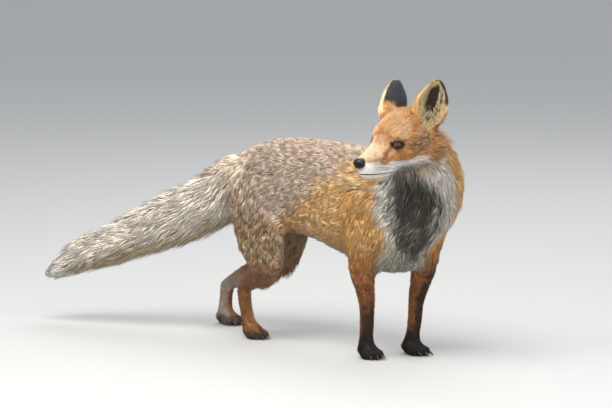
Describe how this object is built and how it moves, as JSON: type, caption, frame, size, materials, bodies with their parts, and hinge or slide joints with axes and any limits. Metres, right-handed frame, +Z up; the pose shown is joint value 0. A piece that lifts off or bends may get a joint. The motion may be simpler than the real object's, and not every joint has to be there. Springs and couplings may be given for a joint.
{
  "type": "red fox",
  "caption": "Still, life-size red fox standing with one hind leg stretched back, its brush trailing and its head turned over its right shoulder.",
  "frame": {"origin": "middle of the bounding box's footprint, on the floor under the soles", "axes": "+X the way the chest faces, +Y the fox's left, +Z up"},
  "size_m": [0.9034, 0.3108, 0.4976],
  "materials": {
    "coat_orange": "soft orange fur",
    "coat_grizzled": "cream and brown grizzled fur",
    "coat_white": "white to pale grey fur",
    "coat_rust": "short rusty brown fur",
    "coat_black": "short black fur",
    "eye": "wet, amber iris with a dark upright pupil",
    "nose": "moist black skin, also claws and lips"
  },
  "bodies": {
    "root": {"head": "coat_orange", "jaw": "coat_white", "ear_left": "coat_black", "ear_right": "coat_black", "neck": "coat_orange", "trunk_front": "coat_orange", "trunk_rear": "coat_grizzled", "tail_base": "coat_grizzled", "tail_middle": "coat_grizzled", "tail_tip": "coat_white", "fore_left_upper": "coat_orange", "fore_left_lower": "coat_black", "fore_left_foot": "coat_black", "fore_right_upper": "coat_orange", "fore_right_lower": "coat_rust", "fore_right_foot": "coat_black", "hind_left_upper": "coat_grizzled", "hind_left_lower": "coat_rust", "hind_left_foot": "coat_white", "hind_right_upper": "coat_grizzled", "hind_right_lower": "coat_rust", "hind_right_foot": "coat_rust", "eye_left": "eye", "eye_right": "eye", "nose": "nose"}
  },
  "joints": []
}
